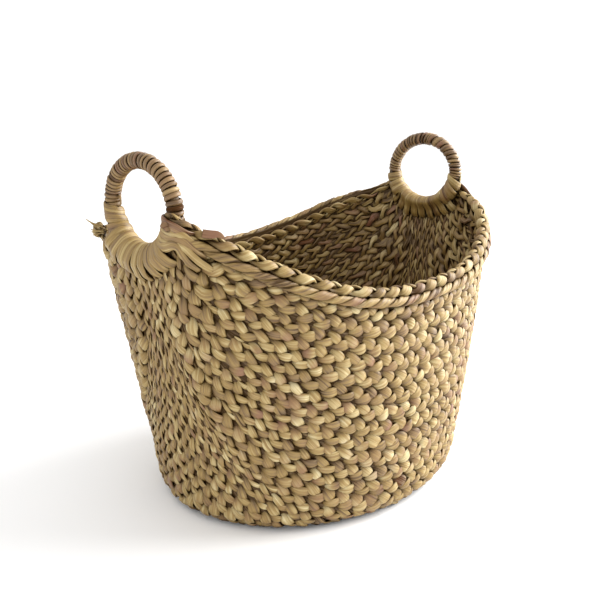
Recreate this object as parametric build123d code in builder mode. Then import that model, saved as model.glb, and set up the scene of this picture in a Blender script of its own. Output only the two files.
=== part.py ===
"""Seagrass storage basket: flat plaits hung from handle to handle, with two wrapped loop handles.

Millimetres. +Z is up, +X runs from handle to handle, the front is -Y, and the basket stands on Z = 0.
Every plait is a ribbon laid on one tapered oval wall. Seen from the end, the ribbons fan out from the
lip under each handle and spread over the front, the floor and the back. Where the fan is too narrow
for all of them, the short ribbons have already ended between their neighbours.
"""

from math import cos, hypot, pi, radians, sin, sqrt
import os

from build123d import *

# Body: outer half sizes at three heights, a parabola through them, and an oval that squares up a little.
MIDDLE_HEIGHT = 130.0
HALF_LENGTH = (209.0, 227.5, 249.0)
HALF_DEPTH = (178.0, 187.5, 186.5)
OVAL_POWER = 2.0
OVAL_POWER_STEP = 0.2
WALL = 10.0
FLOOR_EDGE_RADIUS = 20.0
RIM_HEIGHT = 273.6

# Plaits, counted from the front rim: the rows of the front, of the floor and of the back.
FRONT_ROWS = 14
FLOOR_ROWS = 15
RIM_WIDTH = 12.0
RIM_THICKNESS = 15.0
JOIN_GAP = 0.8

# The fan, seen from the end: run 0 is the lip under the handle and run 1 the middle of the basket.
# The rim meets a loop at its widest place or lower: (left end, right end) for the front and for the back.
RIM_TURN_FRONT = (0.0, 25.0)
RIM_TURN_BACK = (25.0, 25.0)
FRONT_SLOPE = 45.0
FAN_PULL = 0.65
LIP_OVERRUN = 0.03
SHORT_START = (0.0, 0.26, 0.46)
TAPER_RUN = 0.22
FIRST_WIDTH_SHARE = 0.3
PATH_STEPS = 160
FLOOR_STEP = 4.0
STATION_STEP = 22.0
SHORTEST_STEP = 1.0
STATION_BEND = 9.0

# Handle loops: an upright oval rod each, under three kinds of wrapping.
LOOP_X = 246.0
LOOP_Z = 367.0
LOOP_HALF_WIDTH = 53.0
LOOP_HALF_HEIGHT = 47.0
ROD_RADIUS = 5.5
SLEEVE_GAP = 0.1
TWINE_RADIUS = 8.3
BAND_RADIUS = 9.2
LIP_CLEARANCE = 9.7
TWINE_END = 4.0
BAND_END = 40.0
BAND_GAP = 0.3

CORNER = FLOOR_EDGE_RADIUS - WALL / 2
ALL_ROWS = 2 * FRONT_ROWS + FLOOR_ROWS


def half_sizes(height):
    """Half length and half depth of the middle of the wall at a height."""
    step = height / MIDDLE_HEIGHT
    drop = min(CORNER, max(0.0, FLOOR_EDGE_RADIUS - height))
    inset = WALL / 2 + CORNER - sqrt(CORNER ** 2 - drop ** 2)
    sizes = []
    for low, middle, high in (HALF_LENGTH, HALF_DEPTH):
        bend = (high - 2 * middle + low) / 2
        sizes.append(low + (middle - low - bend) * step + bend * step ** 2 - inset)
    return sizes


def oval_power(height):
    return OVAL_POWER + OVAL_POWER_STEP * height / MIDDLE_HEIGHT


def wall_point(y, z, end):
    """Middle of the wall for a place seen from the end: end 0 is the left one (X < 0), 1 the right."""
    half_length, half_depth = half_sizes(z)
    power = oval_power(z)
    rest = max(0.0, 1 - (abs(y) / half_depth) ** power)
    return Vector((2 * end - 1) * half_length * rest ** (1 / power), y, z)


def wall_fill(point):
    """Less than 1 inside the wall's middle surface and more than 1 outside it."""
    half_length, half_depth = half_sizes(point.Z)
    power = oval_power(point.Z)
    return (abs(point.X) / half_length) ** power + (abs(point.Y) / half_depth) ** power


def wall_normal(point):
    """Outward direction of the wall at a point of its middle surface."""
    probe = 0.005
    if point.Z < WALL / 2 + 2 * probe:
        return Vector(0, 0, -1)
    slopes = []
    for shift in (Vector(probe, 0, 0), Vector(0, probe, 0), Vector(0, 0, probe)):
        slopes.append(wall_fill(point + shift) - wall_fill(point - shift))
    return Vector(*slopes).normalized()


# Lengths of the middle section's three stretches, from the front rim to the middle of the floor.
FRONT_WAY = RIM_HEIGHT - FLOOR_EDGE_RADIUS
CORNER_WAY = pi / 2 * CORNER
FLOOR_WAY = half_sizes(WALL / 2)[1]
HALF_WAY = FRONT_WAY + CORNER_WAY + FLOOR_WAY
ROW_WIDTH = 2 * (HALF_WAY - RIM_WIDTH) / ALL_ROWS


def section_at(share):
    """Place on the middle section (X = 0): share 0 is the front rim and share 1 the back rim."""
    if share > 0.5:
        y, z = section_at(1 - share)
        return -y, z
    way = 2 * share * HALF_WAY
    if way < FRONT_WAY:
        z = RIM_HEIGHT - way
        return -half_sizes(z)[1], z
    if way < FRONT_WAY + CORNER_WAY:
        z = FLOOR_EDGE_RADIUS - CORNER * sin((way - FRONT_WAY) / CORNER)
        return -half_sizes(z)[1], z
    return way - HALF_WAY, WALL / 2


def lip_at(share, end):
    """Place on the lip under a handle: share 0 is the front rim and share 1 the back rim."""
    first = radians(180 + RIM_TURN_FRONT[end])
    last = radians(360 - RIM_TURN_BACK[end])
    turn = first + (last - first) * share
    return ((LOOP_HALF_WIDTH + LIP_CLEARANCE) * cos(turn),
            LOOP_Z + (LOOP_HALF_HEIGHT + LIP_CLEARANCE) * sin(turn))


def fan_point(share, run, end):
    """Point of the wall's middle on the fan's line for a share, from the lip to the middle section."""
    lip_y, lip_z = lip_at(share, end)
    end_y, end_z = section_at(share)
    side = -1 if end_y > 0 else 1
    slope = radians(FRONT_SLOPE + (90 - FRONT_SLOPE) * (1 - min(1, abs(end_y) / FLOOR_WAY)))
    pull = FAN_PULL * hypot(lip_y - end_y, lip_z - end_z)
    pull_y = end_y + side * pull * cos(slope)
    pull_z = end_z + pull * sin(slope)
    near, middle, far = (1 - run) ** 2, 2 * run * (1 - run), run ** 2
    y = near * lip_y + middle * pull_y + far * end_y
    z = near * lip_z + middle * pull_z + far * end_z
    return wall_point(y, max(z, WALL / 2), end)


def row_start(row):
    """Run where a row begins. Row 0 and the last one are the rims; every third row reaches the lip."""
    place = min(row, ALL_ROWS + 1 - row)
    return 0.0 if place == 0 else SHORT_START[(place - 1) % 3]


def row_width(row, run):
    """Width that a row takes at a run: its full width, or less where a short row tapers in."""
    full = RIM_WIDTH if row in (0, ALL_ROWS + 1) else ROW_WIDTH
    start = row_start(row)
    if start == 0:
        return full
    grown = min(1.0, max(0.0, (run - start) / TAPER_RUN))
    return full * grown * grown * (3 - 2 * grown)


def edge_shares(run):
    """Shares of the fan at which the rows meet, from the front rim to the back rim."""
    widths = [row_width(row, run) for row in range(ALL_ROWS + 2)]
    shares = [0.0]
    for width in widths:
        shares.append(shares[-1] + width / sum(widths))
    return shares


def run_at(step):
    """Runs that lie closer together towards the middle section, where the wall turns."""
    return (1 + LIP_OVERRUN) * (1 - (1 - step / PATH_STEPS) ** 2) - LIP_OVERRUN


FAN_SHARES = [(run_at(step), edge_shares(run_at(step))) for step in range(PATH_STEPS + 1)]


def half_line(row, place, end):
    """A line of a row from a lip to the middle of the basket: place 0 is its upper edge, 1 its lower."""
    line = []
    for run, shares in FAN_SHARES:
        if row_width(row, run) >= FIRST_WIDTH_SHARE * row_width(row, 1):
            share = shares[row] + (shares[row + 1] - shares[row]) * place
            line.append(fan_point(share, run, end))
    floor_end = line[-1]
    floor_steps = int(abs(floor_end.X) // FLOOR_STEP)
    for step in range(1, floor_steps + 1):
        line.append(Vector(floor_end.X * (1 - step / floor_steps), floor_end.Y, floor_end.Z))
    return line


def whole_line(row, place):
    """A line of a row from the left lip to the right one."""
    right = half_line(row, place, 1)
    return half_line(row, place, 0) + right[-2::-1]


def station_places(line):
    """Numbers of the points of a line where stations go: closer together where the line bends."""
    places = [0]
    for number in range(1, len(line) - 1):
        last = places[-1]
        way = (line[number] - line[last]).length
        bend = (line[number + 1] - line[number]).get_angle(line[last + 1] - line[last])
        if way > STATION_STEP or (bend > STATION_BEND and way > SHORTEST_STEP):
            places.append(number)
    if (line[-1] - line[places[-1]]).length < STATION_STEP / 3:
        places.pop()
    return places + [len(line) - 1]


def cross_at(line, place, origin, direction):
    """Where a line crosses the plane through an origin, looked for from one place along the line."""
    offset = (line[place] - origin).dot(direction)
    move = -1 if offset > 0 else 1
    while 0 <= place + move < len(line):
        following = (line[place + move] - origin).dot(direction)
        if following * offset <= 0:
            part = offset / (offset - following) if offset != following else 0
            return line[place] + (line[place + move] - line[place]) * part
        place += move
        offset = following
    return line[place] - direction * offset


def row_stations(row):
    """Stations along a row: the plane square to it and the ribbon's four corners in that plane."""
    upper, centre, lower = whole_line(row, 0), whole_line(row, 0.5), whole_line(row, 1)
    thickness = RIM_THICKNESS if row in (0, ALL_ROWS + 1) else WALL
    stations = []
    for place in station_places(centre):
        origin = centre[place]
        after, before = centre[min(place + 1, len(centre) - 1)], centre[max(place - 1, 0)]
        direction = (after - before).normalized()
        plane = Plane(origin=origin, x_dir=wall_normal(origin).cross(direction), z_dir=direction)
        corners = []
        edges = []
        for line in (upper, lower):
            nearby = place * (len(line) - 1) // (len(centre) - 1)
            edges.append(cross_at(line, nearby, origin, direction))
        across = (edges[1] - edges[0]).normalized() * JOIN_GAP / 2
        for edge, shift in zip(edges, (across, -across)):
            normal = wall_normal(edge)
            normal = (normal - direction * normal.dot(direction)).normalized() * thickness / 2
            sides = (normal, -normal) if shift is across else (-normal, normal)
            for side in sides:
                corner = plane.to_local_coords(edge + shift + side)
                corners.append((corner.X, corner.Y))
        stations.append((plane, corners))
    return stations


LOOP_CENTRE = Plane(origin=(0, 0, LOOP_Z), x_dir=(0, 1, 0), z_dir=(1, 0, 0))


def save(part, name):
    part.label = name
    export_step(part, f"parts/{name}.step")


def make_row(row, name):
    """One plait as a plain ribbon, trimmed clear of the two loops."""
    with BuildPart() as plait:
        for plane, corners in row_stations(row):
            with BuildSketch(plane):
                with BuildLine():
                    Polyline(*corners, close=True)
                make_face()
        loft(ruled=True)
        with BuildSketch(LOOP_CENTRE):
            Ellipse(LOOP_HALF_WIDTH + LIP_CLEARANCE, LOOP_HALF_HEIGHT + LIP_CLEARANCE)
        extrude(amount=2 * LOOP_X, both=True, mode=Mode.SUBTRACT)
    save(plait.part, name)


def make_loop_piece(name, x, first, last, outer, inner=0.0):
    """A round bar or a sleeve along a loop's oval, between two turns counted from the back (+Y)."""
    with BuildPart() as piece:
        with BuildLine(LOOP_CENTRE.offset(x)) as oval:
            EllipticalCenterArc((0, 0), LOOP_HALF_WIDTH, LOOP_HALF_HEIGHT,
                                start_angle=first, arc_size=last - first)
        with BuildSketch(Plane(origin=oval.line @ 0, z_dir=oval.line % 0)):
            Circle(outer)
            if inner:
                Circle(inner, mode=Mode.SUBTRACT)
        sweep(path=oval.line)
    save(piece.part, name)


def row_name(row):
    """Rows are counted from the rim downwards on the front and the back, and front to back on the floor."""
    if row in (0, ALL_ROWS + 1):
        return "rim_plait_front" if row == 0 else "rim_plait_back"
    if row <= FRONT_ROWS:
        return f"front_plait_{row:02d}"
    if row <= FRONT_ROWS + FLOOR_ROWS:
        return f"floor_plait_{row - FRONT_ROWS:02d}"
    return f"back_plait_{ALL_ROWS + 1 - row:02d}"


os.makedirs("parts", exist_ok=True)
for row in range(ALL_ROWS + 2):
    make_row(row, row_name(row))
sleeve = ROD_RADIUS + SLEEVE_GAP
for side, x in (("left", -LOOP_X), ("right", LOOP_X)):
    make_loop_piece(f"handle_rod_{side}", x, 0, 360, ROD_RADIUS)
    make_loop_piece(f"handle_twine_{side}", x, -TWINE_END, 180 + TWINE_END, TWINE_RADIUS, sleeve)
    front_band = (180 + TWINE_END + BAND_GAP, 180 + BAND_END)
    make_loop_piece(f"handle_band_front_{side}", x, *front_band, BAND_RADIUS, sleeve)
    back_band = (360 - BAND_END, 360 - TWINE_END - BAND_GAP)
    make_loop_piece(f"handle_band_back_{side}", x, *back_band, BAND_RADIUS, sleeve)
    lip = (180 + BAND_END + BAND_GAP, 360 - BAND_END - BAND_GAP)
    make_loop_piece(f"lip_binding_{side}", x, *lip, BAND_RADIUS, sleeve)
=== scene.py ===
"""Looks of the seagrass storage basket: real three-strand plaits laid along the CAD ribbons, a roped rim,
two wound loop handles, leaf bindings, loose ends, and the studio that shows them. Metres, +Z up."""

import math

import bpy
import numpy as np
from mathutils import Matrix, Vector


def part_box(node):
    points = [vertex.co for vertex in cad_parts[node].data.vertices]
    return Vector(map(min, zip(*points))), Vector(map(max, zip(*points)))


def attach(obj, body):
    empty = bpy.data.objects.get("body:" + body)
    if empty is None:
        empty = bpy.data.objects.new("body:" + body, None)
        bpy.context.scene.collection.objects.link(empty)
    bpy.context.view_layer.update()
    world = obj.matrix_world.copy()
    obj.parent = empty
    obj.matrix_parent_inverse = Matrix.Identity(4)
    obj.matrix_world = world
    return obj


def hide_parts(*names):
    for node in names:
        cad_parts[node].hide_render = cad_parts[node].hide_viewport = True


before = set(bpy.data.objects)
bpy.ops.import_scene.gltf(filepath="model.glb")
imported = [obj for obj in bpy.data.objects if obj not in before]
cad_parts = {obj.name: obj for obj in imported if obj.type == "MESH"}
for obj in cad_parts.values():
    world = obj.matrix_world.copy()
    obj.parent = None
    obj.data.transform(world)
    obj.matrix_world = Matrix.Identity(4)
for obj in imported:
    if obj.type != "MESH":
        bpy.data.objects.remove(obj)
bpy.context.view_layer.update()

# The body, as the CAD model has it: outer half sizes at the floor, at MIDDLE_HEIGHT and at twice that height,
# and an oval whose power grows a little with height.
MIDDLE_HEIGHT = 0.130
HALF_LENGTH = (0.2090, 0.2275, 0.2490)
HALF_DEPTH = (0.1780, 0.1875, 0.1865)
OVAL_POWER = 2.0
OVAL_POWER_STEP = 0.2
WALL = 0.010
FLOOR_EDGE_RADIUS = 0.020
CORNER = FLOOR_EDGE_RADIUS - WALL / 2
RIM_HEIGHT = 0.2736

# The fan of rows that hangs from the lip under each handle, as in the CAD model.
FRONT_ROWS = 14
FLOOR_ROWS = 15
ALL_ROWS = 2 * FRONT_ROWS + FLOOR_ROWS
RIM_WIDTH = 0.012
RIM_TURN_FRONT = (0.0, 25.0)
RIM_TURN_BACK = (25.0, 25.0)
FRONT_SLOPE = 45.0
FAN_PULL = 0.65
LIP_OVERRUN = 0.03
SHORT_START = (0.0, 0.26, 0.46)
TAPER_RUN = 0.22
FIRST_WIDTH_SHARE = 0.12
LIP_CLEARANCE = 0.0097
RUN_STEPS = 160

# Handle loops, measured on the CAD rods.
rod_low, rod_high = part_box("handle_rod_right")
ROD_RADIUS = (rod_high.x - rod_low.x) / 2
LOOP_X = (rod_high.x + rod_low.x) / 2
LOOP_Z = (rod_high.z + rod_low.z) / 2
LOOP_HALF_WIDTH = (rod_high.y - rod_low.y) / 2 - ROD_RADIUS
LOOP_HALF_HEIGHT = (rod_high.z - rod_low.z) / 2 - ROD_RADIUS

# Meshes of leaf: the distance between a tube's rings, and the section of a tube. STRAY_STEP is the distance
# for loose ends, and EDGE_STEP is how finely a row's edges are divided.
STRAND_STEP = 0.0016
STRAY_STEP = 0.0008
STRAND_SIDES = 22
LEAF_SQUARENESS = 0.92
LEAF_FOLDS = (2, 3, 5)
LEAF_GROOVES = 3
GROOVE_HALF_ANGLE = 0.26
EDGE_STEP = 0.0008

# Plaits. PERIOD is the way along a row in which a strand goes from side to side and back. RISE and
# HALF_THICKNESS are those of a full row, and narrower rows have less.
PERIOD = 0.0620
RISE = 0.0034
HALF_THICKNESS = 0.0026
FULL_HALF_WIDTH = 0.0098
# These are shares of a row's half width.
SWING = 0.71
HALF_WIDTH = 0.68
MIDDLE_SHIFT = 0.10
SHADE_SHEET_HALF_WIDTH = 1.16
# A strand zigzags more sharply as TURN_SHARPNESS nears 1. Its rise over the others lags by OVER_LAG radians.
# Its width is HIDDEN_FATNESS where it is hidden, and LOBE_FATNESS more in the middle of each visible lobe,
# which is at LOBE_MIDDLE degrees of its turn and opposite.
TURN_SHARPNESS = 0.90
OVER_LAG = 0.45
LOBE_MIDDLE = 132.0
HIDDEN_FATNESS = 0.48
LOBE_FATNESS = 0.60
STRAND_LEAN = 0.20
# The dark sheet in the middle of each plait is painted shade between the strands: its half thickness and its
# tone.
SHADE_SHEET_HALF_THICKNESS = 0.0008
SHADE_SHEET_TONE = 0.10

# Rim: the cap is a plait folded over the wall's edge, and a two-strand cord lies under its outer side.
# CAP_SINK and RIM_TRIM are for the front and the back rim: how much lower the cap lies at its ends, and how
# much is cut off its left and its right end.
CAP_RADIUS = 0.0048
CAP_HALF_WIDTH = 0.0092
CAP_PERIOD = 0.0660
CAP_SWING = 0.58
CAP_STRAND_WIDTH = 0.60
CAP_FADE = 0.110
CAP_SINK = (0.003, 0.007)
RIM_TRIM = ((0.0, 0.0), (0.017, 0.004))
CORD_DROP = 0.0104
CORD_LIFT = 0.0012
CORD_RADIUS = 0.0022
CORD_HALF_WIDTH = 0.0043
CORD_HALF_THICKNESS = 0.0031
CORD_PERIOD = 0.0400
CORD_TONE = 0.48

# Handle wrapping: places on a loop are turns in degrees, from the back (+Y) over the top to the front.
# A wrap's lean is in the same degrees, and its fullness is its half width as a share of the pitch.
WRAP_STEPS = 44
TWINE_WRAPS = 32
TWINE_TURNS = (-4.0, 184.5)
TWINE_RADII = (0.0066, 0.0066)
TWINE_THICKNESS = 0.0020
TWINE_TONE = 0.45
TWINE_LEAN = 1.0
TWINE_FULLNESS = 0.47
# The wraps that are WIDE_WRAP times as wide as the others, on the left and the right handle.
WIDE_WRAPS = (slice(0, 0), slice(20, 25))
WIDE_WRAP = 1.8
BAND_WRAPS = 3
FRONT_BAND_TURNS = (183.0, 222.0)
BACK_BAND_TURNS = (-3.0, -42.0)
BAND_RADII = (0.0082, 0.0108)
BAND_THICKNESS = 0.0021
BAND_TONE = 0.5
BAND_LEAN = 3.0
BAND_FULLNESS = 0.56
CANE_TONE = 0.45

# Straps over the lip. On the wall: shares of the strap's drop, and heights off the wall's middle.
# Round the rod, from its middle: distances outwards from the basket, and inwards to the middle of the loop.
STRAPS = 9
STRAP_TURNS = (223.0, 317.0)
STRAP_TURN_SPREAD = 1.2
STRAP_HALF_WIDTH = 0.0063
STRAP_THICKNESS = 0.0018
STRAP_TONE = 0.46
STRAP_DROP = 0.0205
STRAP_OUTSIDE = ((1.25, 0.0010), (0.95, 0.0068), (0.62, 0.0080), (0.30, 0.0092))
STRAP_ROUND_ROD = ((0.0110, 0.0070), (0.0, 0.0118), (-0.0120, 0.0050))
STRAP_INSIDE = ((0.40, 0.0100), (0.80, 0.0075), (1.05, 0.0010))

# Leaves that hook round a handle's front foot: turn, reach along the rim, drop below it, tone and blush.
# Round the rod, from its middle: distances away from the loop's middle, and outwards from the basket.
# Along the rim: shares of the reach and the drop, and heights off the wall's middle.
GUSSET_HALF_WIDTH = 0.0052
GUSSET_THICKNESS = 0.0024
GUSSET_HOOK_WAY = 0.020
GUSSET_LEAVES = (
    (218.0, 0.040, 0.026, 0.50, 0.1),
    (211.0, 0.052, 0.020, 0.66, 0.0),
    (204.0, 0.044, 0.011, 0.42, 0.5),
    (197.0, 0.036, 0.005, 0.62, 0.0),
    (189.0, 0.026, 0.000, 0.30, 1.1),
)
GUSSET_ROUND_ROD = ((-0.004, -0.0080), (-0.0115, -0.0010), (-0.0070, 0.0105), (0.0070, 0.0150))
GUSSET_ON_WALL = ((0.50, 0.0120), (0.80, 0.0105), (1.0, 0.0080), (1.15, 0.0010))

# Loose ends at the left handle. The twine's loop is given by distances inwards from the rod's middle, and up.
LOOSE_TWINE_TURN = 5.0
LOOSE_TWINE = ((0.006, 0.004), (0.013, 0.006), (0.015, 0.001), (0.013, -0.005), (0.006, -0.006))
TUFT_TURN = 337.0
TUFT_DROP = 0.012
TUFT_FIBRES = 7
# The dark leaf end lies this far along the rim, through points ahead, outwards and up from the rim's top.
LEAF_END_WAY = 0.050
LEAF_END = ((-0.014, 0.006, 0.0), (-0.006, 0.005, 0.002), (0.0, 0.003, 0.005), (0.006, 0.004, 0.0035))

# Leaf colours by tone, the reddish blush, the dark brown of the painted shade in creases, and how the surface
# shines.
LEAF_RAMP = (
    (0.0, (0.060, 0.036, 0.014)),
    (0.12, (0.070, 0.034, 0.009)),
    (0.3, (0.182, 0.105, 0.026)),
    (0.55, (0.290, 0.181, 0.042)),
    (0.8, (0.442, 0.328, 0.134)),
    (1.0, (0.59, 0.49, 0.265)),
)
TWINE_RAMP = (
    (0.0, (0.050, 0.022, 0.007)),
    (0.3, (0.135, 0.070, 0.021)),
    (0.55, (0.225, 0.130, 0.041)),
    (0.8, (0.33, 0.21, 0.076)),
    (1.0, (0.48, 0.35, 0.150)),
)
BLUSH = (0.20, 0.080, 0.036)
PAINTED_CREASE_SHADE = (0.022, 0.010, 0.003)
CREASE_DISTANCE = 0.009
TONE_SPREAD = 0.15
LEAF_SHEEN = 0.7
ROUGHNESS_SPREAD = 0.12
RELIEF_STRENGTH = 0.6
RELIEF_DISTANCE = 0.0012
# Noises in a leaf's own space, each with its scale across, through and along the leaf, and its detail.
FINE_NOISE = ((900, 900, 26), 3.0)
COARSE_NOISE = ((330, 330, 14), 2.0)
BLOTCH_NOISE = ((60, 60, 60), 3.0)

# Seeds of the random draws: the rows and the rims add their row, and the handles add their end.
ROW_SEED = 100
RIM_SEED = 200
HANDLE_SEED = 300
LOOSE_SEED = 400

# The camera, fitted to the photograph, and the studio.
CAMERA_TARGET = (0, 0, 0.180)
CAMERA_AZIMUTH = -47.04
CAMERA_ELEVATION = 17.554
CAMERA_DISTANCE = 0.9923
CAMERA_LENS = 44.63
CAMERA_SHIFT = (-0.0054, 0.0408)
PAPER_REACH = 12.0
PAPER_WHITE = (0.97, 0.97, 0.97, 1)
SKY_STRENGTH = 1.12
KEY_PLACE = (1.9, -1.1, 1.3)
KEY_TARGET = (0, 0, 0.15)
KEY_SIZE = 2.4
KEY_POWER = 145.0


def smooth(value):
    """A soft step from 0 to 1 for values from 0 to 1."""
    value = np.clip(value, 0, 1)
    return value * value * (3 - 2 * value)


# ---------------------------------------------------------------- the wall and the fan of rows on it

def half_sizes(z):
    """Half length and half depth of the middle of the wall at a height."""
    step = z / MIDDLE_HEIGHT
    drop = np.clip(FLOOR_EDGE_RADIUS - z, 0, CORNER)
    inset = WALL / 2 + CORNER - np.sqrt(CORNER ** 2 - drop ** 2)
    sizes = []
    for low, middle, high in (HALF_LENGTH, HALF_DEPTH):
        bend = (high - 2 * middle + low) / 2
        sizes.append(low + (middle - low - bend) * step + bend * step ** 2 - inset)
    return sizes


def oval_power(z):
    """The power of the wall's oval at a height."""
    return OVAL_POWER + OVAL_POWER_STEP * z / MIDDLE_HEIGHT


def on_wall(y, z, end):
    """Points of the wall's middle surface, for places seen from an end: end 0 is left and 1 is right."""
    half_length, half_depth = half_sizes(z)
    power = oval_power(z)
    rest = np.clip(1 - (np.abs(y) / half_depth) ** power, 0, 1)
    return np.stack([(2 * end - 1) * half_length * rest ** (1 / power), y, z], axis=-1)


def wall_fill(points):
    """Less than 1 inside the wall's middle surface and more than 1 outside it."""
    half_length, half_depth = half_sizes(points[:, 2])
    power = oval_power(points[:, 2])
    return (np.abs(points[:, 0]) / half_length) ** power + (np.abs(points[:, 1]) / half_depth) ** power


def unit(vectors):
    """The same directions with length 1."""
    return vectors / np.maximum(np.linalg.norm(vectors, axis=-1, keepdims=True), 1e-12)


def wall_normals(points):
    """Outward directions of the wall at points of its middle surface."""
    probe = 5e-6
    slopes = []
    for axis in np.eye(3) * probe:
        slopes.append(wall_fill(points + axis) - wall_fill(points - axis))
    normals = unit(np.stack(slopes, axis=-1))
    normals[points[:, 2] < WALL / 2 + 2 * probe] = (0, 0, -1)
    return normals


FRONT_WAY = RIM_HEIGHT - FLOOR_EDGE_RADIUS
CORNER_WAY = math.pi / 2 * CORNER
FLOOR_WAY = float(half_sizes(np.array(WALL / 2))[1])
HALF_WAY = FRONT_WAY + CORNER_WAY + FLOOR_WAY
ROW_WIDTH = 2 * (HALF_WAY - RIM_WIDTH) / ALL_ROWS


def section_at(share):
    """Places on the middle section (x = 0), as y and z: share 0 is the front rim and 1 the back rim."""
    way = 2 * np.minimum(share, 1 - share) * HALF_WAY
    corner_turn = np.clip((way - FRONT_WAY) / CORNER, 0, math.pi / 2)
    z = np.where(way < FRONT_WAY, RIM_HEIGHT - way, FLOOR_EDGE_RADIUS - CORNER * np.sin(corner_turn))
    y = np.where(way < FRONT_WAY + CORNER_WAY, -half_sizes(z)[1], way - HALF_WAY)
    return np.where(share > 0.5, -y, y), z


def lip_at(share, end):
    """Places on the lip under a handle, as y and z."""
    first = math.radians(180 + RIM_TURN_FRONT[end])
    last = math.radians(360 - RIM_TURN_BACK[end])
    turn = first + (last - first) * share
    return ((LOOP_HALF_WIDTH + LIP_CLEARANCE) * np.cos(turn),
            LOOP_Z + (LOOP_HALF_HEIGHT + LIP_CLEARANCE) * np.sin(turn))


def fan_points(share, run, end):
    """Points of the wall's middle on the fan's lines, from the lip (run 0) to the middle section (run 1)."""
    lip_y, lip_z = lip_at(share, end)
    end_y, end_z = section_at(share)
    side = np.where(end_y > 0, -1, 1)
    slope = np.radians(FRONT_SLOPE + (90 - FRONT_SLOPE) * (1 - np.minimum(1, np.abs(end_y) / FLOOR_WAY)))
    pull = FAN_PULL * np.hypot(lip_y - end_y, lip_z - end_z)
    near, middle, far = (1 - run) ** 2, 2 * run * (1 - run), run ** 2
    y = near * lip_y + middle * (end_y + side * pull * np.cos(slope)) + far * end_y
    z = near * lip_z + middle * (end_z + pull * np.sin(slope)) + far * end_z
    return on_wall(y, np.maximum(z, WALL / 2), end)


def row_start(row):
    """Run where a row begins: every third row reaches the lip, the others start between their neighbours."""
    place = min(row, ALL_ROWS + 1 - row)
    return 0.0 if place == 0 else SHORT_START[(place - 1) % 3]


def row_widths(row, runs):
    """Relative widths of a row along its run."""
    full = RIM_WIDTH if row in (0, ALL_ROWS + 1) else ROW_WIDTH
    start = row_start(row)
    return full * (np.ones_like(runs) if start == 0 else smooth((runs - start) / TAPER_RUN))


steps = np.linspace(0, 1, RUN_STEPS + 1)
RUNS = (1 + LIP_OVERRUN) * (1 - (1 - steps) ** 2) - LIP_OVERRUN
WIDTHS = np.stack([row_widths(row, RUNS) for row in range(ALL_ROWS + 2)], axis=-1)
EDGES = np.concatenate([np.zeros((len(RUNS), 1)), np.cumsum(WIDTHS, axis=1)], axis=1)
EDGES /= EDGES[:, -1:]


def whole_line(row, place):
    """A line of a row from the left lip to the right one: place 0 is its upper edge, 1 its lower edge."""
    seen = WIDTHS[:, row] >= FIRST_WIDTH_SHARE * WIDTHS[-1, row]
    shares = EDGES[seen, row] + (EDGES[seen, row + 1] - EDGES[seen, row]) * place
    left = fan_points(shares, RUNS[seen], 0)
    right = fan_points(shares, RUNS[seen], 1)
    return np.concatenate([left, right[::-1]])


def resampled(line, step):
    """The same line with evenly spaced points, and the length at each point."""
    ways = np.concatenate([[0], np.cumsum(np.linalg.norm(np.diff(line, axis=0), axis=1))])
    count = max(8, int(round(ways[-1] / step)))
    even = np.linspace(0, ways[-1], count + 1)
    return np.stack([np.interp(even, ways, line[:, axis]) for axis in range(3)], axis=-1), even


def nearest_on(line, points):
    """The point of a finely divided line that is nearest to each of some points."""
    found = np.empty_like(points)
    for first in range(0, len(points), 256):
        part = points[first:first + 256]
        gaps = np.linalg.norm(part[:, None] - line[None], axis=2)
        found[first:first + 256] = line[gaps.argmin(axis=1)]
    return found


class Ribbon:
    """A row as a moving frame: its centre line, its direction, its side and its outward normal."""

    def __init__(self, row, trim=(0.0, 0.0)):
        centre, way = resampled(whole_line(row, 0.5), STRAND_STEP)
        kept = (way >= trim[0]) & (way <= way[-1] - trim[1])
        centre = centre[kept]
        self.way = way[kept] - way[kept][0]
        upper = nearest_on(resampled(whole_line(row, 0), EDGE_STEP)[0], centre)
        lower = nearest_on(resampled(whole_line(row, 1), EDGE_STEP)[0], centre)
        self.centre = (upper + lower) / 2
        self.direction = unit(np.gradient(self.centre, axis=0))
        side = upper - lower
        side -= self.direction * (side * self.direction).sum(axis=1, keepdims=True)
        self.half_width = np.linalg.norm(side, axis=1) / 2
        normals = wall_normals(centre)
        self.side = unit(side)
        self.normal = np.cross(self.side, self.direction)
        self.normal *= np.sign((self.normal * normals).sum(axis=1, keepdims=True))

    def lay(self, place, height):
        """Points at a place across the row and a height above it, with the outward and upward ways there."""
        points = self.centre + self.side * place[:, None] + self.normal * height[:, None]
        return points, self.normal, self.side


class FoldedRibbon(Ribbon):
    """The rim row folded over the wall's edge, its lower half outside and its upper half inside."""

    def __init__(self, row, trim, sink):
        super().__init__(row, trim)
        full = smooth(np.minimum(self.way, self.way[-1] - self.way) / CAP_FADE)
        low = CAP_RADIUS + sink * (1 - full) ** 2
        self.fold = self.centre + self.side * (self.half_width - low)[:, None]
        self.half_width = CAP_HALF_WIDTH * (0.68 + 0.32 * full)

    def lay(self, place, height):
        turn = np.clip(place / CAP_RADIUS, -math.pi / 2, math.pi / 2)
        rest = np.abs(place - turn * CAP_RADIUS)[:, None]
        cosine, sine = np.cos(turn)[:, None], np.sin(turn)[:, None]
        outward = self.side * cosine - self.normal * sine
        upward = -self.side * sine - self.normal * cosine
        return self.fold + outward * (CAP_RADIUS + height)[:, None] - self.side * rest, outward, upward


# ---------------------------------------------------------------- strands

def wander(rng, way, lengths, size):
    """A smooth random value along a length: a few sine waves of these wave lengths, about size high."""
    total = np.zeros_like(way)
    for length in lengths:
        total += np.sin(2 * math.pi * (way / (length * rng.uniform(0.8, 1.25)) + rng.uniform()))
    return size * total / math.sqrt(len(lengths))


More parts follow.
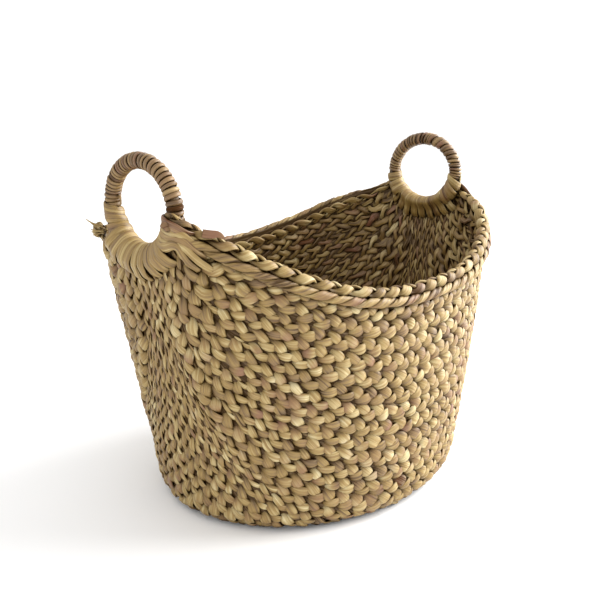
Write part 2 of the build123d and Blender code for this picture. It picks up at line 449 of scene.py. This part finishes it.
def leaf_outline(rng, way, turn, ridges):
    """A leaf's outline, along and round it, as shares of a plain oval's: soft folds and narrow grooves."""
    shape = np.ones((len(way), STRAND_SIDES))
    for folds in LEAF_FOLDS:
        lean = wander(rng, way, (0.03, 0.08), 1.1)[:, None] + rng.uniform(0, 6.28)
        shape += ridges * rng.uniform(0.5, 1.1) / math.sqrt(folds) * np.cos(folds * turn + lean)
    for _ in range(LEAF_GROOVES):
        middle = rng.uniform(0, 2 * math.pi) + wander(rng, way, (0.05, 0.11), 0.5)[:, None]
        depth = ridges * rng.uniform(0.8, 2.2) * (1 + wander(rng, way, (0.02, 0.05), 0.5))[:, None]
        away = np.angle(np.exp(1j * (turn - middle)))
        shape -= np.maximum(depth, 0) * np.exp(-(away / GROOVE_HALF_ANGLE) ** 2)
    return shape


class Strands:
    """Collects tubes of leaf and makes one mesh object of them, with the values that the material reads."""

    def __init__(self):
        self.points = []
        self.faces = []
        self.caps = []
        self.fibre = []
        self.shade = []
        self.count = 0

    def add(self, centre, normal, half_width, half_thickness, shade, rng, ridges=0.07):
        """One tube. normal is the way its flat side looks, and shade is the shading at each point."""
        way = np.concatenate([[0], np.cumsum(np.linalg.norm(np.diff(centre, axis=0), axis=1))])
        along = unit(np.gradient(centre, axis=0))
        flat = unit(normal - along * (normal * along).sum(axis=1, keepdims=True))
        side = np.cross(along, flat)
        turn = np.linspace(0, 2 * math.pi, STRAND_SIDES, endpoint=False)[None]
        shape = leaf_outline(rng, way, turn, ridges)
        cosine, sine = np.cos(turn), np.sin(turn)
        across = half_width[:, None] * np.sign(cosine) * np.abs(cosine) ** LEAF_SQUARENESS * shape
        up = half_thickness[:, None] * np.sign(sine) * np.abs(sine) ** LEAF_SQUARENESS * shape
        points = centre[:, None] + side[:, None] * across[..., None] + flat[:, None] * up[..., None]
        points[..., 2] = np.maximum(points[..., 2], 0)
        self.points.append(points.reshape(-1, 3))
        self.add_faces(len(centre))
        offset = rng.uniform(0, 10)
        fibre = np.stack([across, up, np.broadcast_to(way[:, None] + offset, across.shape)], axis=-1)
        self.fibre.append(fibre.reshape(-1, 3))
        self.shade.append(np.repeat(shade, STRAND_SIDES, axis=0))

    def add_faces(self, rings):
        """The side faces and the two end caps of a tube with this many rings."""
        ring = np.arange(STRAND_SIDES)
        base = self.count + np.arange(rings - 1)[:, None] * STRAND_SIDES
        here, after = base + ring, base + np.roll(ring, -1)
        quads = np.stack([here, after, after + STRAND_SIDES, here + STRAND_SIDES], axis=-1)
        self.faces.append(quads.reshape(-1, 4))
        self.caps.append(self.count + ring[::-1])
        self.caps.append(self.count + (rings - 1) * STRAND_SIDES + ring)
        self.count += rings * STRAND_SIDES

    def build(self, name, material, replaced=()):
        """The tubes as one mesh object on the only body, which replaces the CAD nodes named."""
        points = np.concatenate(self.points)
        quads = np.concatenate(self.faces)
        mesh = bpy.data.meshes.new(name)
        mesh.vertices.add(len(points))
        mesh.vertices.foreach_set("co", points.astype(np.float32).ravel())
        corners = np.concatenate([quads.ravel()] + self.caps)
        sizes = np.concatenate([np.full(len(quads), 4), np.full(len(self.caps), STRAND_SIDES)])
        mesh.loops.add(len(corners))
        mesh.loops.foreach_set("vertex_index", corners.astype(np.int32))
        mesh.polygons.add(len(sizes))
        mesh.polygons.foreach_set("loop_start", np.concatenate([[0], np.cumsum(sizes)[:-1]]).astype(np.int32))
        mesh.polygons.foreach_set("use_smooth", np.ones(len(sizes), dtype=bool))
        for title, values in (("fibre", self.fibre), ("shade", self.shade)):
            layer = mesh.attributes.new(title, "FLOAT_VECTOR", "POINT")
            layer.data.foreach_set("vector", np.concatenate(values).astype(np.float32).ravel())
        mesh.update()
        mesh.validate()
        mesh.materials.append(material)
        piece = bpy.data.objects.new(name, mesh)
        bpy.context.collection.objects.link(piece)
        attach(piece, "root")
        if replaced:
            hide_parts(*replaced)


def shading(tones, blushes):
    """Tones and blushes as the vectors that the leaf material reads."""
    return np.stack([tones, blushes, np.zeros_like(tones)], axis=-1)


def leaf_shades(rng, turns, lobes, tone=0.5):
    """Tone and blush for each point. Each lobe has its own, and the lobes of one leaf have similar tones."""
    places = turns / math.pi - 0.25
    first = int(np.floor(places.min())) - 1
    number = int(np.ceil(places.max())) - first + 3
    leaf = rng.normal(0, 1, number // lobes + 2).repeat(lobes)[:number]
    tones = tone + TONE_SPREAD * (0.6 * leaf + 0.7 * rng.normal(0, 1, number))
    blushes = np.clip(rng.normal(0.0, 0.55, number), 0, 1.4) ** 1.5
    near = places - first
    low = np.floor(near).astype(int)
    blend = smooth((near - low - 0.5) * 3.0 + 0.5)
    picked = []
    for values in (tones, blushes):
        picked.append(values[low] * (1 - blend) + values[low + 1] * blend)
    return picked


def plait(strands, ribbon, rng, period=PERIOD, reach=SWING, width=HALF_WIDTH):
    """Three strands over and under each other along a ribbon, with the chevrons pointing along it."""
    way = ribbon.way
    scale = ribbon.half_width
    size = np.clip(ribbon.half_width / FULL_HALF_WIDTH, 0.3, 1.0)
    start = rng.uniform(0, 2 * math.pi)
    drift = wander(rng, way, (0.11, 0.23), 0.22)
    for number in range(3):
        turns = 2 * math.pi * way / period + start + number * 2 * math.pi / 3 + drift
        turns = turns + wander(rng, way, (0.05, 0.09), 0.14)
        swing = np.arcsin(TURN_SHARPNESS * np.sin(turns)) / math.asin(TURN_SHARPNESS)
        over = -np.sin(2 * turns - OVER_LAG)
        lobe = 0.5 + 0.5 * np.cos(2 * (turns - math.radians(LOBE_MIDDLE)))
        fat = 1 + 0.08 * swing + wander(rng, way, (0.04, 0.07, 0.16), 0.10)
        fat *= HIDDEN_FATNESS + LOBE_FATNESS * lobe
        zigzag = reach * swing * (1 + wander(rng, way, (0.06,), 0.06))
        place = scale * (zigzag + MIDDLE_SHIFT * (1 - swing ** 2))
        height = RISE * size * over + wander(rng, way, (0.045, 0.08), 0.0005)
        centre, outward, upward = ribbon.lay(place, height)
        lean = (STRAND_LEAN * swing + wander(rng, way, (0.03, 0.07), 0.10))[:, None]
        flat = outward * np.cos(lean) + upward * np.sin(lean)
        tones, blushes = leaf_shades(rng, turns, 4)
        # Painted light and shade: a strand's tone is a little lighter where it lies over the others and
        # darker where it dips under them.
        shade = shading(tones + 0.06 * over, blushes)
        thickness = HALF_THICKNESS * size * (1 + 0.5 * (fat - 1))
        strands.add(centre, flat, scale * width * fat, thickness, shade, rng)


def shade_sheet(strands, ribbon, rng):
    """A flat dark sheet in the middle of a plait, painted shade that keeps light from showing between its
    strands.
    """
    centre, outward, _ = ribbon.lay(np.zeros_like(ribbon.way), np.zeros_like(ribbon.way))
    shade = shading(np.full_like(ribbon.way, SHADE_SHEET_TONE), np.zeros_like(ribbon.way))
    thickness = np.full_like(ribbon.way, SHADE_SHEET_HALF_THICKNESS)
    strands.add(centre, outward, SHADE_SHEET_HALF_WIDTH * ribbon.half_width, thickness, shade, rng, ridges=0.0)


def cord(strands, ribbon, rng):
    """Two thin strands twisted round each other, under the outer side of the rim's cap."""
    way = ribbon.way
    drift = wander(rng, way, (0.10, 0.21), 0.35)
    place = ribbon.half_width - CORD_DROP
    middle, outward, upward = ribbon.lay(place, np.full_like(way, WALL / 2 + CORD_LIFT))
    for number in range(2):
        turns = 2 * math.pi * way / CORD_PERIOD + number * math.pi + drift
        flat = upward * np.sin(turns)[:, None] + outward * np.cos(turns)[:, None]
        fat = 1 + wander(rng, way, (0.03, 0.07), 0.12)
        tones, blushes = leaf_shades(rng, turns, 2, CORD_TONE)
        shade = shading(tones, blushes)
        centre = middle + flat * CORD_RADIUS
        strands.add(centre, flat, CORD_HALF_WIDTH * fat, CORD_HALF_THICKNESS * fat, shade, rng)


# ---------------------------------------------------------------- handles

def loop_frame(end, turns):
    """Middle of a handle rod at some turns, and the way there from the loop's middle outwards."""
    angle = np.radians(turns)
    cosine, sine = np.cos(angle), np.sin(angle)
    flat = np.zeros_like(cosine)
    x = flat + (2 * end - 1) * LOOP_X
    middle = np.stack([x, LOOP_HALF_WIDTH * cosine, LOOP_Z + LOOP_HALF_HEIGHT * sine], axis=-1)
    return middle, unit(np.stack([flat, LOOP_HALF_HEIGHT * cosine, LOOP_HALF_WIDTH * sine], axis=-1))


def away_from_basket(end):
    """The direction out of the basket at an end."""
    return np.array([2 * end - 1.0, 0, 0])


def wrap(strands, rng, end, turns, wraps, radii, thickness, tone, lean, fullness, wide=slice(0, 0)):
    """One leaf wound round a handle rod between two turns, its radius going from the first to the last."""
    spacing = rng.uniform(0.7, 1.3, wraps)
    spacing[wide] *= WIDE_WRAP
    edges = np.concatenate([[0], np.cumsum(spacing)]) / spacing.sum()
    made = np.linspace(0, wraps, wraps * WRAP_STEPS + 1)
    share = np.interp(made, np.arange(wraps + 1), edges)
    angle = 2 * math.pi * made
    across = wander(rng, made, (1.7, 3.1), 0.10) / wraps
    place = turns[0] + (turns[1] - turns[0]) * (share + across) + lean * np.cos(angle)
    middle, away = loop_frame(end, place)
    outward = away * np.cos(angle)[:, None] + away_from_basket(end) * np.sin(angle)[:, None]
    tucked = 1 - 0.12 * np.exp(-(np.minimum(made, wraps - made) / 0.12) ** 2)
    radius = (radii[0] + (radii[1] - radii[0]) * share) * tucked + wander(rng, made, (0.6, 1.3), 0.00018)
    length = math.radians(abs(turns[1] - turns[0])) * (LOOP_HALF_WIDTH + LOOP_HALF_HEIGHT) / 2
    pitch = np.interp(made, np.arange(wraps) + 0.5, spacing / spacing.sum()) * length
    tones, blushes = leaf_shades(rng, angle, 2, tone)
    shade = shading(tones, blushes)
    centre = middle + outward * radius[:, None]
    strands.add(centre, outward, fullness * pitch, np.full_like(made, thickness), shade, rng)


def rounded(points, step=STRAND_STEP):
    """An even curve through the middle of a few corner points, from the first to the last."""
    points = np.array(points, dtype=float)
    for _ in range(4):
        near = points[:-1] * 0.75 + points[1:] * 0.25
        far = points[:-1] * 0.25 + points[1:] * 0.75
        points = np.concatenate([points[:1], np.stack([near, far], axis=1).reshape(-1, 3), points[-1:]])
    return resampled(points, step)


def wall_beside(end, turn, drop):
    """A point of the wall's middle at a distance beyond a handle rod, and the wall's outward way there."""
    middle, away = loop_frame(end, np.array([turn]))
    place = middle + away * drop
    point = on_wall(place[:, 1], place[:, 2], end)
    return point[0], wall_normals(point)[0]


def strap(strands, rng, end, turn):
    """A leaf laid over a handle rod, one end down the outside of the wall and the other down the inside."""
    (middle,), (away,) = loop_frame(end, np.array([turn]))
    outside = away_from_basket(end)
    drop = STRAP_DROP * rng.uniform(0.88, 1.15)
    corners = []
    for share, height in STRAP_OUTSIDE:
        point, normal = wall_beside(end, turn, drop * share)
        corners.append(point + normal * height)
    for outwards, inwards in STRAP_ROUND_ROD:
        corners.append(middle + outside * outwards - away * inwards)
    for share, height in STRAP_INSIDE:
        point, normal = wall_beside(end, turn, drop * share)
        corners.append(point - normal * height)
    centre, way = rounded(corners)
    centre += np.array([0, 1, 0]) * wander(rng, way, (0.05, 0.09), 0.0006)[:, None]
    along = unit(np.gradient(centre, axis=0))
    tangent = np.cross(away, outside)
    flat = unit(np.cross(along, np.broadcast_to(tangent, along.shape)))
    from_rod = centre - (middle + away * 0.010)
    flat *= np.sign((flat * from_rod).sum(axis=1, keepdims=True).sum())
    fat = 1 + wander(rng, way, (0.03, 0.06), 0.08)
    fat *= 0.72 + 0.28 * np.sqrt(np.maximum(np.sin(math.pi * way / way[-1]), 0))
    tones, blushes = leaf_shades(rng, way / 0.02, 6, STRAP_TONE)
    shade = shading(tones, blushes)
    width = STRAP_HALF_WIDTH * rng.uniform(0.92, 1.12)
    strands.add(centre, flat, width * fat, STRAP_THICKNESS * fat, shade, rng)


def gusset(strands, rng, end, rim, turn, reach, drop, tone, blush):
    """A broad leaf that hooks round a handle's front foot and runs on beside the rim, its end tucked in."""
    (middle,), (away,) = loop_frame(end, np.array([turn]))
    outside = away_from_basket(end)
    corners = []
    for from_loop, outwards in GUSSET_ROUND_ROD:
        corners.append(middle + away * from_loop + outside * outwards)
    way = rim.way if end == 0 else rim.way[-1] - rim.way
    for share, height in GUSSET_ON_WALL:
        place = np.abs(way - reach * share).argmin()
        corners.append(rim.centre[place] + rim.normal[place] * height - rim.side[place] * drop * share)
    centre, way = rounded(corners)
    along = unit(np.gradient(centre, axis=0))
    flat = wall_normals(centre)
    hooked = smooth(1 - way / GUSSET_HOOK_WAY)[:, None]
    flat = unit(flat * (1 - hooked) + unit(centre - middle) * hooked)
    fat = 0.55 + 0.45 * np.sin(math.pi * np.clip(way / way[-1] + 0.06, 0, 1)) ** 0.6
    fat += wander(rng, way, (0.03, 0.06), 0.05)
    shade = shading(tone + wander(rng, way, (0.02, 0.05), 0.06), np.full_like(way, blush))
    strands.add(centre, flat, GUSSET_HALF_WIDTH * fat, GUSSET_THICKNESS * fat, shade, rng)


def stray(strands, rng, corners, half_width, half_thickness, tone, blush=0.0):
    """A loose fibre or leaf end through some corner points, thinner towards its tip."""
    centre, way = rounded(corners, STRAY_STEP)
    share = way / way[-1]
    flat = np.broadcast_to(np.array([-0.6, -0.6, 0.5]), centre.shape)
    fat = 1 - 0.6 * share ** 3
    shade = shading(tone + 0.15 * share, np.full_like(share, blush))
    strands.add(centre, flat, half_width * fat, half_thickness * fat, shade, rng)


# ---------------------------------------------------------------- materials

def node(tree, kind, place, **values):
    """A new node at a place in the editor, with some of its settings."""
    made = tree.nodes.new(kind)
    made.location = place
    for title, value in values.items():
        setattr(made, title, value)
    return made


def math_node(tree, operation, place, first, second):
    """The outcome of an operation on two values, each a number or another node's output."""
    made = node(tree, "ShaderNodeMath", place, operation=operation)
    for socket, value in zip(made.inputs, (first, second)):
        if isinstance(value, bpy.types.NodeSocket):
            tree.links.new(value, socket)
        else:
            socket.default_value = value
    return made.outputs[0]


def map_range(tree, place, value, **limits):
    """A value carried from one range to another. A limit left out keeps Blender's 0 or 1."""
    made = node(tree, "ShaderNodeMapRange", place)
    for title, limit in limits.items():
        made.inputs[title.replace("_", " ").title()].default_value = limit
    tree.links.new(value, made.inputs["Value"])
    return made.outputs[0]


def mixed(tree, place, factor, first, second):
    """A colour between the first, another node's output, and the second, a plain colour."""
    made = node(tree, "ShaderNodeMix", place, data_type="RGBA", clamp_factor=True)
    tree.links.new(factor, made.inputs["Factor"])
    tree.links.new(first, made.inputs["A"])
    made.inputs["B"].default_value = (*second, 1)
    return made.outputs["Result"]


def leaf_noise(tree, row, fibre, values):
    """A noise stretched along the leaf, between 0 and 1."""
    scale, detail = values
    mapping = node(tree, "ShaderNodeMapping", (-1300, -200 - 300 * row))
    mapping.inputs["Scale"].default_value = scale
    tree.links.new(fibre.outputs["Vector"], mapping.inputs["Vector"])
    noise = node(tree, "ShaderNodeTexNoise", (-1080, -200 - 300 * row))
    noise.inputs["Scale"].default_value = 1.0
    noise.inputs["Detail"].default_value = detail
    tree.links.new(mapping.outputs[0], noise.inputs["Vector"])
    return noise.outputs["Fac"]


def streaked(tree, tone, fine, coarse, streak):
    """A leaf's tone with fine streaks and coarser bands along it."""
    fine_part = math_node(tree, "SUBTRACT", (-950, -200), fine, 0.5)
    streaks = math_node(tree, "MULTIPLY", (-850, -200), fine_part, 0.75 * streak)
    coarse_part = math_node(tree, "SUBTRACT", (-950, -350), coarse, 0.5)
    bands = math_node(tree, "MULTIPLY", (-850, -350), coarse_part, 0.95 * streak)
    with_streaks = math_node(tree, "ADD", (-760, 0), tone, streaks)
    return math_node(tree, "ADD", (-700, 0), with_streaks, bands)


def colour_of_tone(tree, tone, ramp):
    """The colour of a tone on a ramp."""
    colours = node(tree, "ShaderNodeValToRGB", (-520, 100))
    while len(colours.color_ramp.elements) < len(ramp):
        colours.color_ramp.elements.new(0.5)
    for element, (place, colour) in zip(colours.color_ramp.elements, ramp):
        element.position = place
        element.color = (*colour, 1)
    tree.links.new(tone, colours.inputs["Fac"])
    return colours.outputs["Color"]


def crease_depth(tree):
    """How deep a point lies between its neighbours: 0 in the open and 1 where little light gets. It weights
    the painted shade in creases.
    """
    crease = node(tree, "ShaderNodeAmbientOcclusion", (-520, 400), samples=4)
    crease.inputs["Distance"].default_value = CREASE_DISTANCE
    light = crease.outputs["AO"]
    return map_range(tree, (-260, 400), light, from_min=0.40, from_max=0.95, to_min=1.0, to_max=0.0)


def relief(tree, fine, coarse):
    """The surface's way out, with the streaks raised a little."""
    fine_part = math_node(tree, "MULTIPLY", (-500, -500), fine, 0.5)
    height = math_node(tree, "ADD", (-400, -500), fine_part, coarse)
    made = node(tree, "ShaderNodeBump", (-200, -500))
    made.inputs["Strength"].default_value = RELIEF_STRENGTH
    made.inputs["Distance"].default_value = RELIEF_DISTANCE
    tree.links.new(height, made.inputs["Height"])
    return made.outputs[0]


def seagrass(name, ramp, roughness, streak=1.0):
    """Dried leaf: tones for the lobes, streaks and fibres along it, blushes, and painted shade and less shine
    in creases.
    """
    material = bpy.data.materials.new(name)
    material.use_nodes = True
    tree = material.node_tree
    shader = tree.nodes["Principled BSDF"]
    shade = node(tree, "ShaderNodeAttribute", (-1500, 200), attribute_name="shade")
    fibre = node(tree, "ShaderNodeAttribute", (-1500, -300), attribute_name="fibre")
    parts = node(tree, "ShaderNodeSeparateXYZ", (-1300, 200))
    tree.links.new(shade.outputs["Vector"], parts.inputs[0])
    fine = leaf_noise(tree, 0, fibre, FINE_NOISE)
    coarse = leaf_noise(tree, 1, fibre, COARSE_NOISE)
    blotch = leaf_noise(tree, 2, fibre, BLOTCH_NOISE)

    tone = streaked(tree, parts.outputs["X"], fine, coarse, streak)
    blotches = math_node(tree, "MULTIPLY", (-520, -200), parts.outputs["Y"], blotch)
    blushed = mixed(tree, (-260, 100), blotches, colour_of_tone(tree, tone, ramp), BLUSH)
    # Painted shade: the base colour darkens to a dark brown where little light gets, in creases and between
    # strands.
    depth = crease_depth(tree)
    tree.links.new(mixed(tree, (-60, 200), depth, blushed, PAINTED_CREASE_SHADE), shader.inputs["Base Color"])

    low, high = roughness - ROUGHNESS_SPREAD, roughness + ROUGHNESS_SPREAD
    dullness = map_range(tree, (-260, -250), coarse, to_min=low, to_max=high)
    tree.links.new(dullness, shader.inputs["Roughness"])
    tree.links.new(relief(tree, fine, coarse), shader.inputs["Normal"])
    sheen = map_range(tree, (-60, 420), tone, from_max=0.25, to_max=LEAF_SHEEN)
    openness = math_node(tree, "SUBTRACT", (-60, 560), 1.0, depth)
    shine = math_node(tree, "MULTIPLY", (100, 500), sheen, openness)
    tree.links.new(shine, shader.inputs["Specular IOR Level"])
    return material


leaf = seagrass("seagrass_leaf", LEAF_RAMP, roughness=0.54)
rim_leaf = seagrass("rim_leaf", LEAF_RAMP, roughness=0.58)
twine_leaf = seagrass("twine_leaf", TWINE_RAMP, roughness=0.50)
binding_leaf = seagrass("binding_leaf", LEAF_RAMP, roughness=0.52, streak=1.2)
cane = seagrass("cane", TWINE_RAMP, roughness=0.45, streak=0.7)


# ---------------------------------------------------------------- pieces

def row_name(row):
    """A row's CAD node. Rows run from the front rim down, across the underside and up to the back rim."""
    if row == 0:
        return "rim_plait_front"
    if row <= FRONT_ROWS:
        return f"front_plait_{row:02d}"
    if row <= FRONT_ROWS + FLOOR_ROWS:
        return f"floor_plait_{row - FRONT_ROWS:02d}"
    if row <= ALL_ROWS:
        return f"back_plait_{ALL_ROWS + 1 - row:02d}"
    return "rim_plait_back"


def build_row(row):
    """A plait of the wall or the underside."""
    rng = np.random.default_rng(ROW_SEED + row)
    ribbon = Ribbon(row)
    strands = Strands()
    plait(strands, ribbon, rng)
    shade_sheet(strands, ribbon, rng)
    strands.build("braid_" + row_name(row), leaf, (row_name(row),))


def build_rim(row, trim, sink):
    """A rim: its folded cap, the cord under it and the dark sheet of painted shade in its middle."""
    rng = np.random.default_rng(RIM_SEED + row)
    ribbon = Ribbon(row, trim)
    strands = Strands()
    plait(strands, FoldedRibbon(row, trim, sink), rng, CAP_PERIOD, CAP_SWING, CAP_STRAND_WIDTH)
    cord(strands, ribbon, rng)
    shade_sheet(strands, ribbon, rng)
    strands.build("braid_" + row_name(row), rim_leaf, (row_name(row),))


def build_cane(rng, end, side):
    """The bent rod inside a handle."""
    strands = Strands()
    turns = np.linspace(90, 450, 241)
    middle, away = loop_frame(end, turns)
    radius = np.full(len(turns), ROD_RADIUS)
    shade = shading(np.full_like(turns, CANE_TONE), np.zeros_like(turns))
    strands.add(middle, away, radius, radius, shade, rng, ridges=0.01)
    strands.build("cane_" + side, cane, ("handle_rod_" + side,))


def build_twine(rng, end, side):
    """The narrow leaf wound round the top of a handle."""
    strands = Strands()
    wrap(strands, rng, end, TWINE_TURNS, TWINE_WRAPS, TWINE_RADII, TWINE_THICKNESS, TWINE_TONE, TWINE_LEAN,
         TWINE_FULLNESS, WIDE_WRAPS[end])
    strands.build("wound_twine_" + side, twine_leaf, ("handle_twine_" + side,))


def build_band(rng, end, side, face, turns):
    """The wider leaf wound round one foot of a handle."""
    strands = Strands()
    wrap(strands, rng, end, turns, BAND_WRAPS, BAND_RADII, BAND_THICKNESS, BAND_TONE, BAND_LEAN,
         BAND_FULLNESS)
    replaced = f"handle_band_{face}_{side}"
    strands.build(f"leaf_band_{face}_{side}", binding_leaf, (replaced,))


def build_lip(rng, end, side):
    """The straps over the lip under a handle, and the leaves that run on from its front foot."""
    strands = Strands()
    for turn in np.linspace(*STRAP_TURNS, STRAPS):
        strap(strands, rng, end, turn + rng.uniform(-STRAP_TURN_SPREAD, STRAP_TURN_SPREAD))
    rim = Ribbon(0)
    for turn, *leaf_values in GUSSET_LEAVES:
        gusset(strands, rng, end, rim, turn + RIM_TURN_FRONT[end] / 2, *leaf_values)
    strands.build("lip_straps_" + side, binding_leaf, ("lip_binding_" + side,))


def build_loose_twine(rng):
    """A small loop of twine that sticks into the left handle's opening at its back."""
    strands = Strands()
    (middle,), (away,) = loop_frame(0, np.array([LOOSE_TWINE_TURN]))
    corners = []
    for inwards, rise in LOOSE_TWINE:
        corners.append(middle - away * inwards + np.array([0, 0, rise]))
    stray(strands, rng, corners, half_width=0.0011, half_thickness=0.0007, tone=0.6)
    strands.build("loose_twine_left", twine_leaf)


def build_loose_ends(rng):
    """A tuft of fibres below the left handle's back foot, and a dark red leaf end on the front rim."""
    strands = Strands()
    root, outward = wall_beside(0, TUFT_TURN, TUFT_DROP)
    for _ in range(TUFT_FIBRES):
        lean = np.array([rng.uniform(-0.9, -0.2), rng.uniform(0.3, 1.0), rng.uniform(-0.7, 0.9)])
        base = root + outward * 0.003 + np.array([0, 0, 1]) * rng.uniform(-0.008, 0.004)
        tip = base + lean * rng.uniform(0.008, 0.013) + outward * 0.004
        corners = [base, (base + tip) / 2 + outward * 0.003, tip]
        stray(strands, rng, corners, half_width=0.0010, half_thickness=0.0006, tone=0.5)
    rim = Ribbon(0)
    place = np.abs(rim.way - LEAF_END_WAY).argmin()
    ahead, up, outward = rim.direction[place], rim.side[place], rim.normal[place]
    top = rim.centre[place] + up * (rim.half_width[place] + 0.0030)
    corners = []
    for forwards, outwards, rise in LEAF_END:
        corners.append(top + ahead * forwards + outward * outwards + up * rise)
    stray(strands, rng, corners, half_width=0.0042, half_thickness=0.0010, tone=0.15, blush=1.4)
    strands.build("loose_leaf_ends", rim_leaf)


for row in range(1, ALL_ROWS + 1):
    build_row(row)
for row, trim, sink in zip((0, ALL_ROWS + 1), RIM_TRIM, CAP_SINK):
    build_rim(row, trim, sink)
for end, side in enumerate(("left", "right")):
    handle_rng = np.random.default_rng(HANDLE_SEED + end)
    build_cane(handle_rng, end, side)
    build_twine(handle_rng, end, side)
    build_band(handle_rng, end, side, "back", BACK_BAND_TURNS)
    build_band(handle_rng, end, side, "front", FRONT_BAND_TURNS)
    build_lip(handle_rng, end, side)
loose_rng = np.random.default_rng(LOOSE_SEED)
build_loose_twine(loose_rng)
build_loose_ends(loose_rng)


# ---------------------------------------------------------------- studio

def look_from(place, azimuth, elevation, distance):
    """The point at a distance from a place. Azimuth 0 is in front of it, and 90 to its right."""
    turn, rise = math.radians(azimuth), math.radians(elevation)
    level = math.cos(rise)
    way = Vector((math.sin(turn) * level, -math.cos(turn) * level, math.sin(rise)))
    return Vector(place) + distance * way


def aim(item, target):
    """Turn a camera or a lamp towards a target."""
    item.rotation_mode = "QUATERNION"
    item.rotation_quaternion = (Vector(target) - item.location).to_track_quat("-Z", "Y")


def build_camera():
    """The photograph's camera."""
    data = bpy.data.cameras.new("camera")
    data.sensor_width = 36.0
    data.lens = CAMERA_LENS
    data.shift_x, data.shift_y = CAMERA_SHIFT
    camera = bpy.data.objects.new("camera", data)
    camera.location = look_from(CAMERA_TARGET, CAMERA_AZIMUTH, CAMERA_ELEVATION, CAMERA_DISTANCE)
    aim(camera, CAMERA_TARGET)
    bpy.context.collection.objects.link(camera)
    bpy.context.scene.camera = camera


def build_floor():
    """A wide sheet of white paper under the basket."""
    paper = bpy.data.materials.new("paper")
    paper.use_nodes = True
    shader = paper.node_tree.nodes["Principled BSDF"]
    shader.inputs["Base Color"].default_value = PAPER_WHITE
    shader.inputs["Roughness"].default_value = 0.9
    mesh = bpy.data.meshes.new("floor")
    corners = [(x * PAPER_REACH, y * PAPER_REACH, 0) for x, y in ((-1, -1), (1, -1), (1, 1), (-1, 1))]
    mesh.from_pydata(corners, [], [(0, 1, 2, 3)])
    mesh.materials.append(paper)
    floor = bpy.data.objects.new("floor", mesh)
    bpy.context.collection.objects.link(floor)


def build_lights():
    """An even white sky, and a large soft lamp on the right."""
    world = bpy.data.worlds.new("studio")
    world.use_nodes = True
    sky = world.node_tree.nodes["Background"]
    sky.inputs["Color"].default_value = (1.0, 1.0, 1.0, 1)
    sky.inputs["Strength"].default_value = SKY_STRENGTH
    bpy.context.scene.world = world
    data = bpy.data.lights.new("key", "AREA")
    data.shape = "DISK"
    data.size = KEY_SIZE
    data.energy = KEY_POWER
    lamp = bpy.data.objects.new("key", data)
    lamp.location = KEY_PLACE
    aim(lamp, KEY_TARGET)
    bpy.context.collection.objects.link(lamp)


build_camera()
build_floor()
build_lights()
bpy.context.scene.view_settings.view_transform = "Standard"
